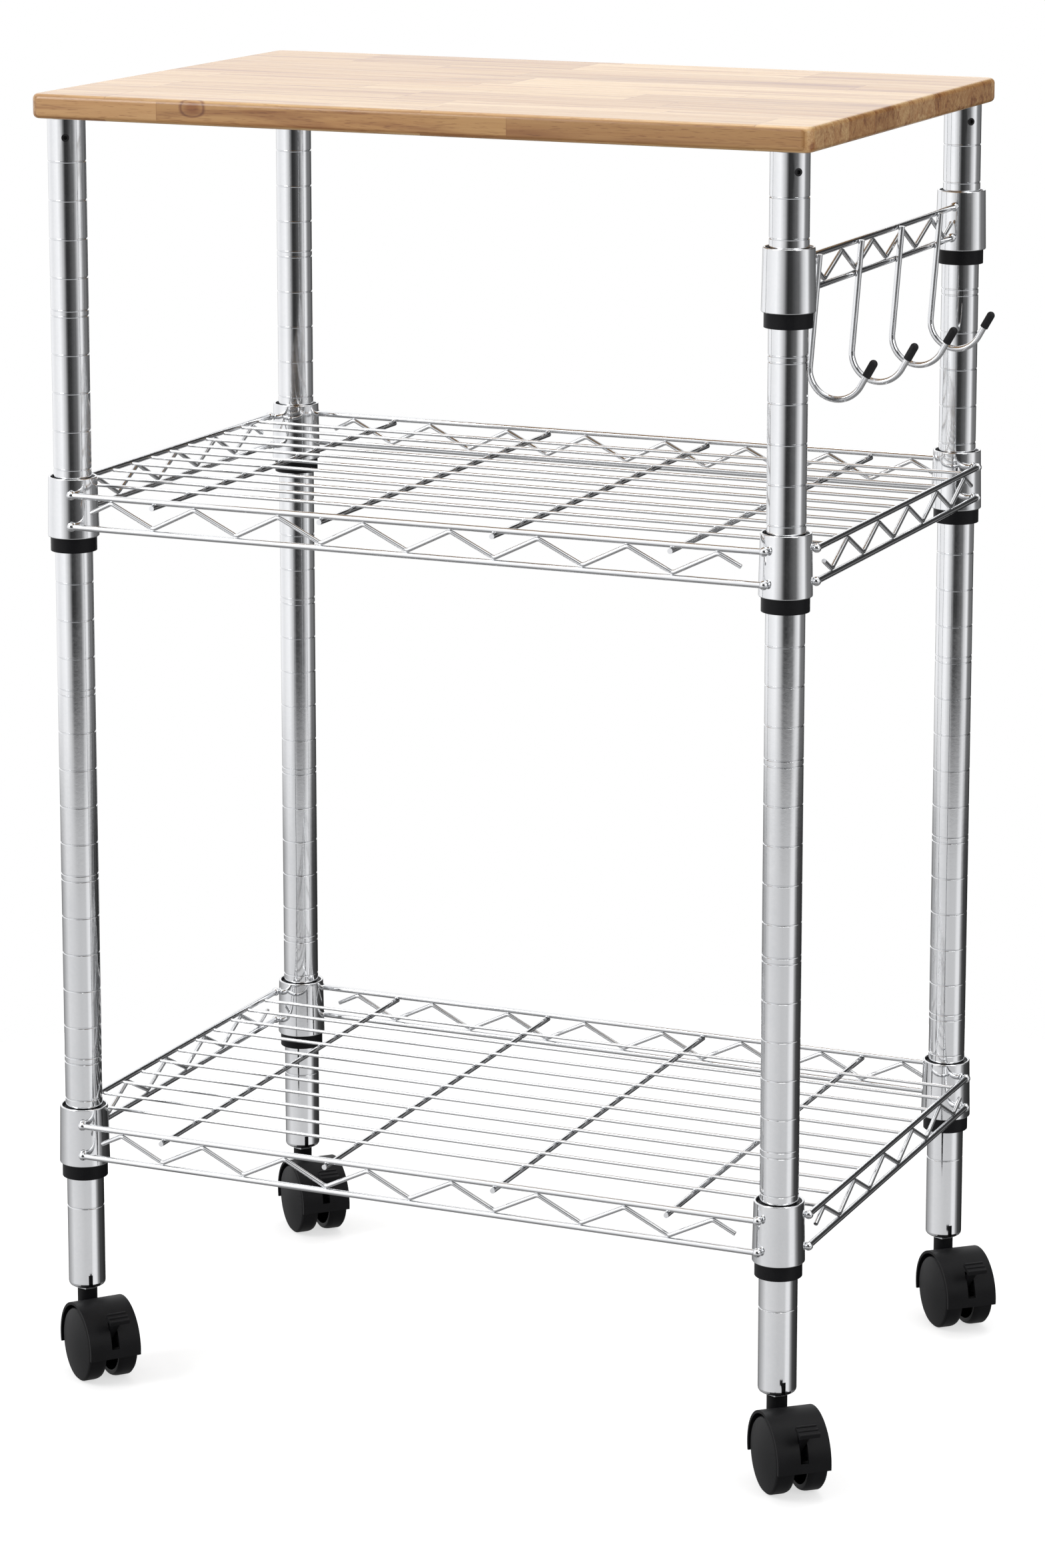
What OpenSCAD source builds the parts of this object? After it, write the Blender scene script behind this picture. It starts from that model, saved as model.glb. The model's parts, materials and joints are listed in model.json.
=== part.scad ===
// Kitchen island cart: a butcher-block worktop on four grooved chrome posts,
// two wire shelves, a hook rail on the right-hand end and four braked casters.
// X runs to the right, Y to the back and Z up. The floor is at Z = 0.

/* [Worktop] */
// Length of the worktop, left to right
board_w = 540; // [520:1:760]
// Depth of the worktop, front to back
board_d = 362; // [350:1:520]
// Thickness of the worktop
board_t = 16.2; // [14:0.1:30]
// Radius of the rounded edges
board_edge_r = 3.5; // [1:0.5:6]
// Radius of the corners seen from above
board_corner_r = 7; // [6.5:0.5:20]
// Depth of the pilot holes under the worktop
pilot_depth = 10.5; // [6:0.5:12]

/* [Posts] */
// Distance from an end of the worktop in to the axes of the posts
post_inset_x = 19; // [18:0.5:40]
// Distance from the front or back of the worktop in to the axes of the posts
post_inset_y = 15; // [15:0.5:40]
// Outer diameter of a post
post_d = 25; // [22:0.1:30]
// Wall of the post tube
post_wall = 1.2; // [1:0.1:2]
// Radius of the curled lower end of a post
post_curl_r = 3; // [2:0.5:4]
// Rise from the lower end of a post to its lowest groove
groove_rise = 57; // [45:0.5:65]
// Distance from one groove to the next
groove_pitch = 25.4; // [20:0.1:30]
// Grooves along a post
groove_count = 29; // [20:1:29]
// Every so many grooves, one is doubled
groove_double_every = 5; // [3:1:10]
// Distance between the two lines of a double groove
groove_double_gap = 4; // [3:0.5:6]
// Width of a groove at the surface
groove_w = 1.2; // [1:0.1:2.5]
// Depth of a groove
groove_depth = 0.45; // [0.4:0.05:0.8]
// Rise from the last groove to the underside of the worktop
post_head = 28; // [20:0.1:60]
// Width of the slit in the lower end of a post
slit_w = 2.8; // [2:0.1:4]
// Height of that slit
slit_h = 9.6; // [6:0.1:14]

/* [Worktop fixings] */
// Length of the plugs in the tops of the posts
plug_len = 28; // [22:1:40]
// Diameter of the set screws
set_screw_d = 5; // [4:0.5:6]
// Distance of the set screws below the worktop
set_screw_drop = 12; // [10:0.5:16]
// Diameter of the wood screws
wood_screw_d = 4; // [3:0.5:5]
// Head diameter of the wood screws
wood_screw_head_d = 8; // [7:0.5:9]

/* [Collars and sleeves] */
// Height of a collar
collar_h = 40; // [30:1:50]
// How much wider a collar is at its bottom than at its top
collar_flare = 1.6; // [1:0.1:3]
// Wall of a collar
collar_wall = 1.6; // [1:0.1:2]
// Room for a sleeve between the post and the top of its collar
sleeve_room = 2.1; // [1.5:0.1:3]
// How far a sleeve shows below its collar
sleeve_show = 9.6; // [5:0.1:14]
// How far a sleeve stops below the top of its collar
sleeve_recess = 2; // [1:0.5:5]

/* [Shelves] */
// Groove that carries the lower shelf, counted from 0
lower_groove = 2; // [1:1:6]
// Groove that carries the middle shelf
middle_groove = 19; // [14:1:22]
// Wire diameter of the rails
rail_d = 4; // [3:0.1:5]
// Height of the lower rail above the bottom of the collar
rail_low = 9; // [6:0.5:12]
// Height of the upper rail above the bottom of the collar
rail_high = 30; // [26:0.5:34]
// Distance from the widest part of a collar out to the middle of a rail
rail_gap = 0.3; // [0:0.1:1.2]
// Distance from the post axis to the end of a rail
rail_stop = 8; // [7:0.5:12]
// Diameter of the weld beads on the rail ends
bead_d = 6; // [5:0.5:8]
// Wire diameter of the zigzags
zigzag_d = 3; // [2.5:0.1:4]
// Bend radius of the zigzags, at the middle of the wire
zigzag_bend_r = 4; // [3:0.5:5]
// Half pitch of the front and back zigzags
front_step = 30.4; // [24:0.1:36]
// Half pitch of the side zigzags
side_step = 29; // [24:0.1:36]
// Wire diameter of the cross wires
cross_d = 3.5; // [3:0.1:5]
// Distance between the cross wires
cross_pitch = 121.2; // [60:0.1:150]
// Wire diameter of the deck wires
deck_d = 2.3; // [2:0.1:3]
// Distance between the deck wires
deck_pitch = 27.4; // [20:0.1:33]

/* [Hook rail] */
// Groove that carries the hook rail
hook_groove = 26; // [24:1:27]
// Distance from the post axes in to the first and last hooks, before the shift
hook_inset = 49.6; // [40:0.1:80]
// Shift of the row of hooks toward the front
hook_shift = 9; // [0:0.5:12]
// Wire diameter of a hook
hook_d = 4; // [3:0.1:5]
// Drop from the upper rail to the bottom of a hook
hook_drop = 88; // [60:1:110]
// Bend radius of a hook, at the middle of the wire
hook_r = 18; // [12:0.5:22]
// Slant of the hook's tip from upright
hook_tip_angle = 25; // [10:1:35]
// Straight length beyond the bend
hook_tip_len = 18; // [14:0.5:24]
// Lean of the whole hook panel
panel_lean = 4.5; // [0:0.5:6]
// Length of the soft cap on a hook
cap_len = 12; // [8:0.5:13]
// Outer diameter of the soft cap
cap_d = 5.4; // [5:0.1:7]

/* [Casters] */
// Wheel diameter
wheel_d = 50; // [40:0.5:60]
// Distance from the swivel axis back to the axle
trail = 23; // [19:0.5:24]
// Distance between the outer edges of the two treads
tread_span = 35; // [33:0.5:40]
// How far the domed wheel faces stand out past the treads
dome = 2.6; // [1:0.1:4]
// Gap between the treads and the hood over them
hood_gap = 1.9; // [1:0.1:4]
// Wall of the hood
hood_wall = 1.9; // [1.2:0.1:2]
// How far the hood stands past the treads at each side
hood_over = 0.5; // [0:0.1:2]
// Length of neck that shows between the hood and the post
neck_show = 4.6; // [3:0.1:10]
// Diameter of the neck
neck_d = 13.4; // [12:0.1:15]
// Diameter of the swivel pin and of the threaded stem
stem_d = 8; // [6:0.1:8]
// Hex flange across its flats
hex_flats = 12; // [10:0.1:13]
// Thickness of the hex flange
hex_t = 2.1; // [1.5:0.1:3]
// Axle diameter
axle_d = 6; // [5:0.1:7]
// Width of the brake lever's arm
lever_w = 4.8; // [4:0.1:5]
// Width of the brake lever's pedal
pedal_w = 14; // [12:0.5:18]
// Turn of the front left caster about its stem
turn_front_left = 50; // [0:1:90]
// Turn of the front right caster
turn_front_right = 41; // [0:1:90]
// Turn of the back left caster
turn_back_left = 46; // [0:1:90]
// Turn of the back right caster
turn_back_right = 42; // [0:1:90]

/* [Hidden] */
$fn = 48;

// Clearances
fit = 0.05;      // around a shaft in its bore, and between faces of one assembly
weld = 0.03;     // between wires that are welded together
running = 0.3;   // between a part that turns and its neighbour
joint = 0.06;    // extra diameter of the ball at the joints of a hook

// Colours
chrome = [0.80, 0.81, 0.83];
black = [0.09, 0.09, 0.10];
zinc = [0.66, 0.69, 0.72];
wood = [0.80, 0.60, 0.40];

// Casters, each drawn with its swivel axis at the origin, its axle along X
// and its wheels trailing toward -Y
wheel_r = wheel_d / 2;
hood_r = wheel_r + hood_gap + hood_wall;
hood_w = tread_span + 2 * hood_over;
hood_front = 97;   // lower edge on the trailing side, in degrees from the top
hood_back = -103;  // lower edge on the leading side
web_t = 6;
hub_r = 6.5;
ring_r = wheel_r - 4.4;          // inside of the wheel rim
ring_in = web_t / 2 + 1.3;       // inner lip of the rim, from the middle of the caster
disc_in = tread_span / 2 - 4.5;  // inner face of the wheel disc
hub_in = web_t / 2 + running;
rim_clear = 0.8;      // how far inside the treads the boss may reach down
neck_side = 0.3546; // where the boss comes nearest to a rim, as a share of its diameter
boss_bottom = wheel_r + sqrt(pow(wheel_r - rim_clear, 2) - pow(trail - neck_d * neck_side, 2));
pin_bottom = boss_bottom + 2;
pivot = [11.4 - wheel_r, 6.3];   // trunnion of the brake lever from the axle, in Y and Z
pivot_d = 3;
toe_rise = 5.6;
toe_d = 2.2;
toe_half = 8;
pedal_at = [-hood_r - 4.2, hood_r - 2.8];   // middle of the pedal from the axle, in Y and Z
pedal_t = 2.6;
pedal_len = 9;
pedal_slope = 25;
slot_from = 46;    // ends of the slot for the lever, in degrees from the top
slot_to = 84;

// Heights
post_bottom = wheel_r + hood_r + neck_show;
neck_top = post_bottom - hex_t - running;
groove_first = post_bottom + groove_rise;
board_bottom = groove_first + groove_pitch * (groove_count - 1) + post_head;
board_top = board_bottom + board_t;

// Places of the four posts, and the turn of the caster under each
FL = 0;
FR = 1;
BL = 2;
BR = 3;
post_dx = board_w - 2 * post_inset_x;
post_dy = board_d - 2 * post_inset_y;
post_xy = [
    [-post_dx / 2, -post_dy / 2], [post_dx / 2, -post_dy / 2],
    [-post_dx / 2, post_dy / 2], [post_dx / 2, post_dy / 2]
];
caster_turn = [turn_front_left, turn_front_right, turn_back_left, turn_back_right];

// Collars, wide enough for the post and its sleeves
collar_top_d = post_d + 2 * (sleeve_room + collar_wall);
collar_bottom_d = collar_top_d + collar_flare;

// Rails and wires of a shelf, with as many bends and wires as fit between the collars
rail_offset = collar_bottom_d / 2 + rail_gap;
front_bends = floor((post_dx - collar_bottom_d - 2 * zigzag_d) / front_step);
side_bends = floor((post_dy - collar_bottom_d - 2 * zigzag_d) / side_step);
cross_count = floor((post_dx - collar_bottom_d - cross_d) / cross_pitch) + 1;
deck_count = floor((post_dy - collar_bottom_d - deck_d) / deck_pitch) + 1;
shelf_half_x = post_dx / 2 + rail_offset;
shelf_half_y = post_dy / 2 + rail_offset;
zigzag_low = rail_low + (rail_d + zigzag_d) / 2 + weld;
zigzag_high = rail_high - (rail_d + zigzag_d) / 2 - weld;
cross_z = rail_high - (rail_d + cross_d) / 2 - weld;
deck_z = cross_z + (cross_d + deck_d) / 2 + weld;

// Hooks
hook_reach = hook_r + hook_r * cos(hook_tip_angle) + hook_tip_len * sin(hook_tip_angle);
hook_x = (rail_d + hook_d) / 2 + weld;
hook_pitch = (post_dy - 2 * hook_inset) / 3;
hook_y = [for (i = [0:3]) (i - 1.5) * hook_pitch - hook_shift];

// The cart stands over the middle of its own bounding box
caster_front = trail * cos(caster_turn[FL]) + hood_r * cos(caster_turn[FL])
    + hood_w / 2 * sin(caster_turn[FL]);
cart_x = -(post_dx / 2 + hook_x + hook_reach - max(board_w / 2, shelf_half_x)) / 2;
cart_y = (post_dy / 2 + caster_front - max(board_d / 2, shelf_half_y)) / 2;

// Points of a rectangle with rounded corners, centred on the origin
function rounded(w, d, r, steps) = [
    for (c = [0:3], i = [0:steps])
        let (a = 90 * c + 90 * i / steps)
        let (sx = c == 0 || c == 3 ? 1 : -1, sy = c < 2 ? 1 : -1)
        [sx * (w / 2 - r) + r * cos(a), sy * (d / 2 - r) + r * sin(a)]
];

// Moves a part from the cart's own centre line to its place over the origin
module cart() {
    translate([cart_x, cart_y, 0]) children();
}

// Repeats a part at each post of a list
module at_posts(list) {
    cart() for (i = list) translate(concat(post_xy[i], 0)) children();
}

// ---- Worktop ----

module worktop() {
    mid = board_bottom + board_t / 2;
    color(wood) difference() {
        intersection() {
            cart() translate([0, 0, board_bottom]) linear_extrude(board_t)
                polygon(rounded(board_w, board_d, board_corner_r, 6));
            cart() translate([0, board_d / 2, mid]) rotate([90, 0, 0]) linear_extrude(board_d)
                polygon(rounded(board_w, board_t, board_edge_r, 5));
            cart() translate([-board_w / 2, 0, mid]) rotate([90, 0, 90]) linear_extrude(board_w)
                polygon(rounded(board_d, board_t, board_edge_r, 5));
        }
        at_posts([FL, FR, BL, BR]) translate([0, 0, board_bottom - 1])
            cylinder(d = wood_screw_d + 2 * fit, h = pilot_depth + 1);
    }
}

// ---- Posts ----

// Heights of every groove line, with the second line of each double groove
groove_z = [
    for (k = [0:groove_count - 1])
        for (second = [0:(k + 1) % groove_double_every == 0 ? 1 : 0])
            groove_first + k * groove_pitch + second * groove_double_gap
];

post_profile = concat(
    [for (i = [0:4])
        let (a = -90 + 90 * i / 4)
        [post_d / 2 - post_curl_r + post_curl_r * cos(a), post_bottom + post_curl_r * (1 + sin(a))]],
    [for (z = groove_z, p = [[0, -0.5], [-1, -0.2], [-1, 0.2], [0, 0.5]])
        [post_d / 2 + p[0] * groove_depth, z + p[1] * groove_w]],
    [[post_d / 2, board_bottom], [post_d / 2 - post_wall, board_bottom]],
    [for (i = [0:4])
        let (a = -90 * i / 4, r = post_curl_r - post_wall)
        [post_d / 2 - post_curl_r + r * cos(a), post_bottom + post_curl_r + r * sin(a)]]
);

module post(i, screw_angle) {
    color(chrome) at_posts([i]) difference() {
        rotate_extrude($fn = 72) polygon(post_profile);
        rotate([0, 0, -50]) translate([0, -slit_w / 2, post_bottom - 1])
            cube([post_d, slit_w, slit_h + 1]);
        translate([0, 0, board_bottom - set_screw_drop]) rotate([0, 90, screw_angle])
            cylinder(d = set_screw_d + 2 * fit, h = post_d);
    }
}

module post_front_left() { post(FL, -65); }
module post_front_right() { post(FR, -45); }
module post_back_left() { post(BL, -45); }
module post_back_right() { post(BR, -45); }
screw_angles = [-65, -45, -45, -45];

// ---- Worktop fixings and foot inserts ----

plug_r = post_d / 2 - post_wall - fit;
screw_seat = 8;   // from the worktop down to the head of a wood screw
screw_head_h = 3;

module top_plugs() {
    color(black) for (i = [FL, FR, BL, BR]) at_posts([i]) difference() {
        translate([0, 0, board_bottom - plug_len]) cylinder(r = plug_r, h = plug_len);
        translate([0, 0, board_bottom - plug_len - 1])
            cylinder(d = wood_screw_d + 2 * fit, h = plug_len + 2);
        translate([0, 0, board_bottom - plug_len - 1])
            cylinder(d = wood_screw_head_d + 1, h = plug_len + 1 - screw_seat);
        translate([0, 0, board_bottom - set_screw_drop]) rotate([0, 90, screw_angles[i]])
            cylinder(d = set_screw_d + 2 * fit, h = post_d);
    }
}

module wood_screws() {
    tip_h = 3;
    color(zinc) at_posts([FL, FR, BL, BR]) union() {
        translate([0, 0, board_bottom - screw_seat - screw_head_h])
            cylinder(d = wood_screw_head_d, h = screw_head_h);
        translate([0, 0, board_bottom - screw_seat - 1])
            cylinder(d = wood_screw_d, h = screw_seat + pilot_depth - tip_h);
        translate([0, 0, board_bottom + pilot_depth - tip_h - 1])
            cylinder(d1 = wood_screw_d, d2 = 1, h = tip_h);
    }
}

module set_screws() {
    socket_d = 2.9;
    color(black) for (i = [FL, FR, BL, BR]) at_posts([i])
        translate([0, 0, board_bottom - set_screw_drop]) rotate([0, 90, screw_angles[i]])
            difference() {
                translate([0, 0, wood_screw_head_d / 2 + 1.2])
                    cylinder(d = set_screw_d, h = post_d / 2 - wood_screw_head_d / 2 - 1.2);
                translate([0, 0, post_d / 2 - 2]) cylinder(d = socket_d, h = 3, $fn = 6);
            }
}

module foot_inserts() {
    insert_len = 24;
    step_z = post_bottom + post_curl_r;
    color(black) at_posts([FL, FR, BL, BR]) difference() {
        union() {
            translate([0, 0, post_bottom])
                cylinder(r = post_d / 2 - post_curl_r - fit, h = insert_len);
            translate([0, 0, step_z]) cylinder(r = plug_r, h = insert_len - post_curl_r);
        }
        translate([0, 0, post_bottom - 1]) cylinder(d = stem_d + 2 * fit, h = insert_len + 2);
    }
}

// ---- Collars and sleeves, drawn around a post with the collar's foot at Z = 0 ----

function collar_r(z) = (collar_bottom_d + (collar_top_d - collar_bottom_d) * z / collar_h) / 2;
function shelf_z(groove) = groove_first + groove * groove_pitch - collar_h / 2;

module collar_outside() {
    cylinder(r1 = collar_r(0), r2 = collar_r(collar_h), h = collar_h, $fn = 72);
}

module collar() {
    rotate_extrude($fn = 72) polygon([
        [collar_r(0) - collar_wall, 0], [collar_r(0), 0],
        [collar_r(collar_h), collar_h], [collar_r(collar_h) - collar_wall, collar_h]
    ]);
}

// Two half shells that grip one groove of the post and wedge in the collar
module sleeve() {
    top = collar_h - sleeve_recess;
    in_r = post_d / 2 + fit;
    rib_r = in_r - groove_depth + 2 * fit;
    out_r = collar_r(0) - collar_wall - fit;
    top_r = collar_r(top) - collar_wall - fit;
    rib = groove_w * 0.2;
    half_gap = 0.8;
    for (side = [0, 180]) rotate([0, 0, side + half_gap])
        rotate_extrude(angle = 180 - 2 * half_gap, $fn = 72) polygon([
            [in_r, -sleeve_show], [out_r, -sleeve_show], [out_r, 0], [top_r, top], [in_r, top],
            [in_r, collar_h / 2 + 2 * rib], [rib_r, collar_h / 2 + rib * 0.5],
            [rib_r, collar_h / 2 - rib * 0.5], [in_r, collar_h / 2 - 2 * rib]
        ]);
}

module collars(groove, list) {
    color(chrome) translate([0, 0, shelf_z(groove)]) at_posts(list) collar();
}

module sleeves(groove, list) {
    color(black) translate([0, 0, shelf_z(groove)]) at_posts(list) sleeve();
}

// ---- Wires ----

// Straight wire along X, centred, with a weld bead on each end. A bead's seam faces the
// middle of the wire, away from the collar that cuts it.
module beaded_rail(length) {
    rotate([0, 90, 0]) cylinder(d = rail_d, h = length, center = true);
    for (s = [-1, 1]) translate([s * length / 2, 0, 0]) rotate([0, 0, 90 + 90 * s])
        sphere(d = bead_d);
}

// One edge of a zigzag, left to right: side is 1 for the upper edge and -1 for the lower
function zigzag_edge(step, bends, low, high, up_first, side) =
    let (rise = high - low - 2 * zigzag_bend_r, start = up_first ? 1 : -1)
    let (slope = atan(rise / step) + asin(2 * zigzag_bend_r / norm([step, rise])))
    let (first = start * slope, last = (bends % 2 == 0 ? start : -start) * slope)
    let (half = side * zigzag_d / 2, mid = (low + high) / 2)
    concat(
        [[-bends * step / 2 - half * sin(first), mid + half * cos(first)]],
        [for (i = [0:bends - 1], k = [-1:0.5:1])
            let (turn = (i % 2 == 0 ? start : -start), r = zigzag_bend_r + turn * half)
            let (a = turn * (90 - k * slope), x = (i - (bends - 1) / 2) * step)
            [x + r * cos(a), (turn > 0 ? high - zigzag_bend_r : low + zigzag_bend_r) + r * sin(a)]],
        [[bends * step / 2 - half * sin(last), mid + half * cos(last)]]
    );

// Zigzag wire along X between two heights, with rounded bends and its free ends half way up
module zigzag(step, bends, low, high, up_first) {
    upper = zigzag_edge(step, bends, low, high, up_first, 1);
    lower = zigzag_edge(step, bends, low, high, up_first, -1);
    back = [for (i = [len(lower) - 1:-1:0]) lower[i]];
    rotate([90, 0, 0]) linear_extrude(zigzag_d, center = true) polygon(concat(upper, back));
}

// ---- Wire shelves, drawn with the collars' feet at Z = 0 ----

module shelf_front_back_rails() {
    for (s = [-1, 1], z = [rail_low, rail_high]) difference() {
        translate([0, s * shelf_half_y, z]) beaded_rail(post_dx - 2 * rail_stop);
        for (p = post_xy) translate(concat(p, 0)) collar_outside();
    }
}

module shelf_side_rails() {
    for (s = [-1, 1], z = [rail_low, rail_high]) difference() {
        translate([s * shelf_half_x, 0, z]) rotate([0, 0, 90])
            beaded_rail(post_dy - 2 * rail_stop);
        for (p = post_xy) translate(concat(p, 0)) collar_outside();
    }
}

module shelf_front_back_zigzags() {
    for (s = [-1, 1]) translate([0, s * shelf_half_y, 0])
        zigzag(front_step, front_bends, zigzag_low, zigzag_high, true);
}

module shelf_side_zigzags() {
    for (s = [-1, 1]) translate([s * shelf_half_x, 0, 0]) rotate([0, 0, 90])
        zigzag(side_step, side_bends, zigzag_low, zigzag_high, true);
}

module shelf_cross_wires() {
    stub = 1;
    for (i = [0:cross_count - 1])
        translate([(i - (cross_count - 1) / 2) * cross_pitch, 0, cross_z]) rotate([90, 0, 0])
            cylinder(d = cross_d, h = 2 * (shelf_half_y + rail_d / 2 + stub), center = true);
}

module shelf_deck_wires() {
    for (i = [0:deck_count - 1])
        translate([0, (i - (deck_count - 1) / 2) * deck_pitch, deck_z]) rotate([0, 90, 0])
            cylinder(d = deck_d, h = 2 * (shelf_half_x - rail_d / 2 - weld), center = true);
}

// The lower shelf stands as drawn. The middle shelf is the same, turned half way round.
module lower_shelf() {
    cart() translate([0, 0, shelf_z(lower_groove)]) children();
}

module middle_shelf() {
    cart() translate([0, 0, shelf_z(middle_groove)]) rotate([0, 0, 180]) children();
}

ALL = [FL, FR, BL, BR];
module lower_shelf_collars() { collars(lower_groove, ALL); }
module lower_shelf_sleeves() { sleeves(lower_groove, ALL); }
module lower_shelf_front_back_rails() { color(chrome) lower_shelf() shelf_front_back_rails(); }
module lower_shelf_side_rails() { color(chrome) lower_shelf() shelf_side_rails(); }
module lower_shelf_front_back_zigzags() { color(chrome) lower_shelf() shelf_front_back_zigzags(); }
module lower_shelf_side_zigzags() { color(chrome) lower_shelf() shelf_side_zigzags(); }
module lower_shelf_cross_wires() { color(chrome) lower_shelf() shelf_cross_wires(); }
module lower_shelf_deck_wires() { color(chrome) lower_shelf() shelf_deck_wires(); }
module middle_shelf_collars() { collars(middle_groove, ALL); }
module middle_shelf_sleeves() { sleeves(middle_groove, ALL); }
module middle_shelf_front_back_rails() { color(chrome) middle_shelf() shelf_front_back_rails(); }
module middle_shelf_side_rails() { color(chrome) middle_shelf() shelf_side_rails(); }
module middle_shelf_front_back_zigzags() { color(chrome) middle_shelf() shelf_front_back_zigzags(); }
module middle_shelf_side_zigzags() { color(chrome) middle_shelf() shelf_side_zigzags(); }
module middle_shelf_cross_wires() { color(chrome) middle_shelf() shelf_cross_wires(); }
module middle_shelf_deck_wires() { color(chrome) middle_shelf() shelf_deck_wires(); }

// ---- Hook rail on the right-hand posts ----

// Places a part on the leaning panel, whose own origin is half way between its rails
module hook_panel() {
    cart() translate([post_dx / 2, 0, shelf_z(hook_groove) + (rail_low + rail_high) / 2])
        rotate([0, panel_lean, 0]) children();
}

panel_half = (rail_high - rail_low) / 2;

module hook_rail_collars() { collars(hook_groove, [FR, BR]); }
module hook_rail_sleeves() { sleeves(hook_groove, [FR, BR]); }

module hook_rail_wires() {
    reach = post_dy - 2 * collar_r(collar_h / 2) - bead_d / 4;
    color(chrome) for (s = [-1, 1]) difference() {
        hook_panel() translate([0, 0, s * panel_half]) rotate([0, 0, 90]) beaded_rail(reach);
        translate([0, 0, shelf_z(hook_groove)]) at_posts([FR, BR]) collar_outside();
    }
}

module hook_rail_zigzag() {
    mid = (rail_low + rail_high) / 2;
    color(chrome) hook_panel() rotate([0, 0, 90])
        zigzag(side_step, side_bends, zigzag_low - mid, zigzag_high - mid, true);
}

// Places a part at the top of hook i, on the outer side of the rails
module at_hook(i) {
    hook_panel() translate([hook_x, hook_y[i], panel_half]) children();
}

// Places a part at the foot of the hook's straight tip, with Z along the tip
module at_tip() {
    bend = 90 - hook_tip_angle;
    translate([hook_r + hook_r * sin(bend), 0, -hook_drop + hook_r - hook_r * cos(bend)])
        rotate([0, hook_tip_angle, 0]) children();
}

module hook(i) {
    shank_top = 1;
    color(chrome) at_hook(i) union() {
        translate([0, 0, hook_r - hook_drop])
            cylinder(d = hook_d, h = hook_drop - hook_r + shank_top);
        translate([hook_r, 0, hook_r - hook_drop]) rotate([90, 0, 0]) rotate([0, 0, 180])
            rotate_extrude(angle = 180 - hook_tip_angle) translate([hook_r, 0])
                circle(d = hook_d);
        at_tip() cylinder(d = hook_d, h = hook_tip_len);
        translate([0, 0, hook_r - hook_drop]) sphere(d = hook_d + joint);
        at_tip() sphere(d = hook_d + joint);
    }
}

module hook_1() { hook(0); }
module hook_2() { hook(1); }
module hook_3() { hook(2); }
module hook_4() { hook(3); }

module hook_tips() {
    end_r = cap_d / 2;
    end_wall = 1.4;
    steps = 6;
    top = hook_tip_len + end_wall;
    outline = concat(
        [[hook_d / 2 + fit, top - cap_len], [end_r, top - cap_len]],
        [for (k = [0:steps])
            let (a = 90 * k / steps)
            [end_r * cos(a), top - end_r * (1 - sin(a))]],
        [[0, hook_tip_len + fit], [hook_d / 2 + fit, hook_tip_len + fit]]
    );
    color(black) for (i = [0:3]) at_hook(i) at_tip() rotate_extrude() polygon(outline);
}

// ---- Casters ----

module at_caster(i) {
    at_posts([i]) rotate([0, 0, caster_turn[i]]) children();
}

module at_axle() {
    translate([0, -trail, wheel_r]) children();
}

// Turns a profile of radius and width around the axle, between two angles from the top
module around_axle(from, to) {
    rotate([0, 90, 0]) rotate([0, 0, 180 + from])
        rotate_extrude(angle = to - from, $fn = 72) children();
}

module stem(i) {
    thread_len = 20;
    color(zinc) at_caster(i) union() {
        translate([0, 0, pin_bottom + running])
            cylinder(d = stem_d - 2 * fit, h = post_bottom - pin_bottom - running);
        translate([0, 0, post_bottom - hex_t])
            cylinder(d = hex_flats / cos(30), h = hex_t, $fn = 6);
        translate([0, 0, post_bottom - 1]) cylinder(d = stem_d, h = thread_len + 1);
    }
}

module lever_cheeks() {
    cheek_t = 0.9;
    gap = lever_w / 2 + running;
    rise = 13;
    for (s = [-1, 1]) translate([s * (gap + cheek_t / 2), pivot[0], pivot[1]]) difference() {
        union() {
            rotate([0, 90, 0]) cylinder(r = 3, h = cheek_t, center = true);
            rotate([75, 0, 0]) translate([0, 0, rise / 2])
                cube([cheek_t, 6, rise], center = true);
        }
        rotate([0, 90, 0]) cylinder(d = pivot_d + 2 * fit, h = 3, center = true);
    }
}

module housing(i) {
    inner_r = hood_r - hood_wall;
    color(black) at_caster(i) difference() {
        union() {
            at_axle() around_axle(hood_back, hood_front) translate([inner_r, -hood_w / 2])
                square([hood_wall, hood_w]);
            at_axle() around_axle(hood_back + 2, 12) translate([0, -web_t / 2])
                square([inner_r + hood_wall / 2, web_t]);
            at_axle() rotate([0, 90, 0]) cylinder(r = hub_r, h = web_t, center = true);
            translate([0, 0, boss_bottom]) cylinder(d = neck_d, h = neck_top - boss_bottom);
            at_axle() lever_cheeks();
        }
        at_axle() around_axle(slot_from, slot_to) translate([inner_r - 1, -lever_w / 2 - running])
            square([hood_wall + 2, lever_w + 2 * running]);
        at_axle() rotate([0, 90, 0]) cylinder(d = axle_d + 2 * fit, h = web_t + 2, center = true);
        translate([0, 0, pin_bottom]) cylinder(d = stem_d, h = post_bottom - pin_bottom);
    }
}

axle_half = tread_span / 2 - 2;

module axle(i) {
    color(zinc) at_caster(i) at_axle() rotate([0, 90, 0])
        cylinder(d = axle_d, h = 2 * axle_half, center = true);
}

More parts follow.
